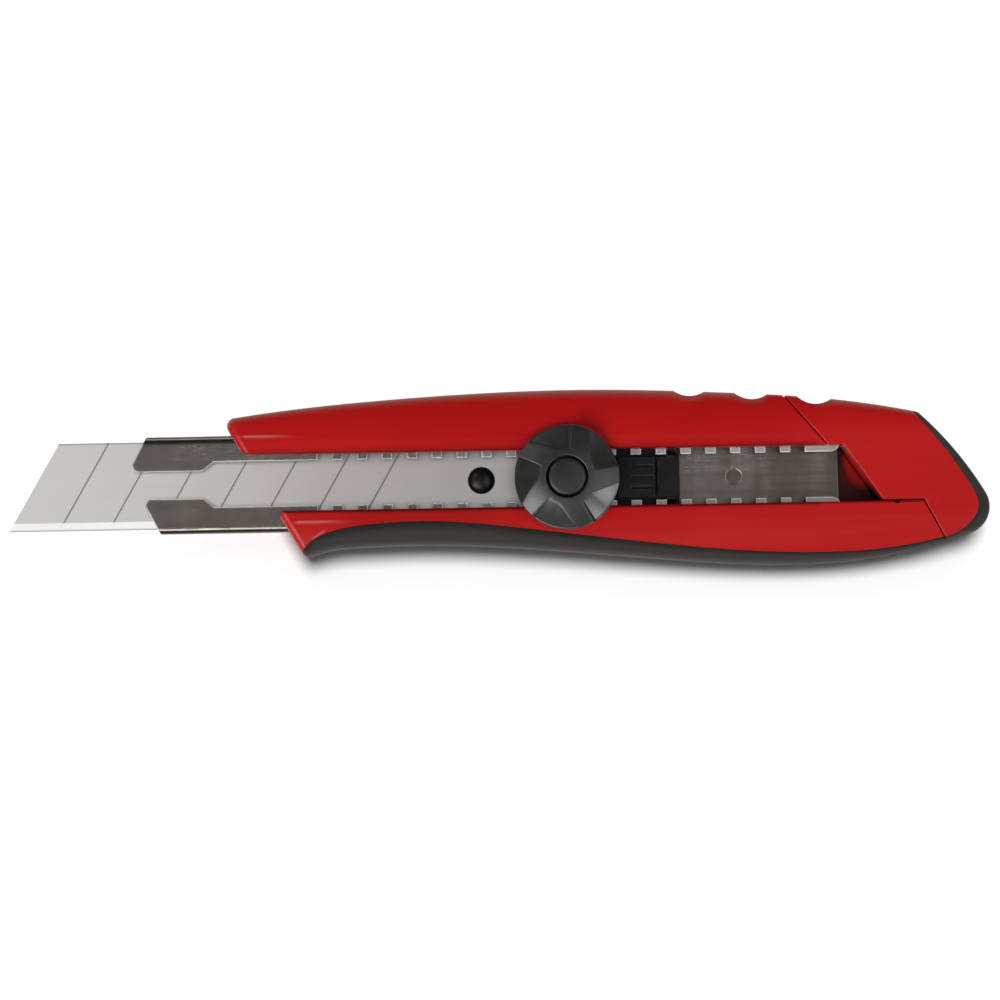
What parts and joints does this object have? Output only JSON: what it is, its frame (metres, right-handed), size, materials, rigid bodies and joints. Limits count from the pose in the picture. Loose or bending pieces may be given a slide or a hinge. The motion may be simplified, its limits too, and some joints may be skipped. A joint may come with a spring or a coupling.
{
  "type": "utility knife",
  "caption": "Snap-off utility knife with a scored blade in a folded steel channel, a screw-lock wheel, a soft belly grip and a pull-off end cap.",
  "frame": {"origin": "on the flat back face, under the channel's centreline, at the middle of the handle", "axes": "+X along the channel towards the tail, +Y towards the spine, +Z out of the front, where the wheel is"},
  "size_m": [0.2007, 0.0364, 0.0207],
  "materials": {
    "red_shell": "satin gloss",
    "grey_rubber": "matte",
    "channel_steel": "brushed",
    "blade_steel": "ground",
    "black_plastic": "satin",
    "insert_brass": "machined"
  },
  "bodies": {
    "handle": {"handle_body": "red_shell", "belly_grip": "grey_rubber", "blade_channel": "channel_steel", "channel_rivets": "channel_steel"},
    "slider": {"blade": "blade_steel", "blade_holder": "channel_steel", "blade_pin": "black_plastic", "slider_block": "black_plastic", "detent_spring": "channel_steel", "lock_bolt": "channel_steel", "clamp_shoe": "black_plastic", "thrust_washer": "channel_steel"},
    "wheel": {"lock_wheel": "black_plastic", "wheel_insert": "insert_brass", "wheel_cap": "black_plastic"},
    "cap": {"end_cap": "red_shell", "tail_bumper": "grey_rubber"}
  },
  "joints": [
    {"name": "blade_slide", "type": "slide", "parent": "handle", "child": "slider", "axis": [-1, 0, 0], "range_m": [-0.032, 0.045]},
    {"name": "wheel_turn", "type": "hinge", "parent": "slider", "child": "wheel", "pos_m": [-0.0086, 0, 0.0156], "axis": [0, 0, 1], "range_deg": [0, 270]},
    {"name": "cap_pull", "type": "slide", "parent": "handle", "child": "cap", "axis": [1, 0, 0], "range_m": [0, 0.04]}
  ]
}
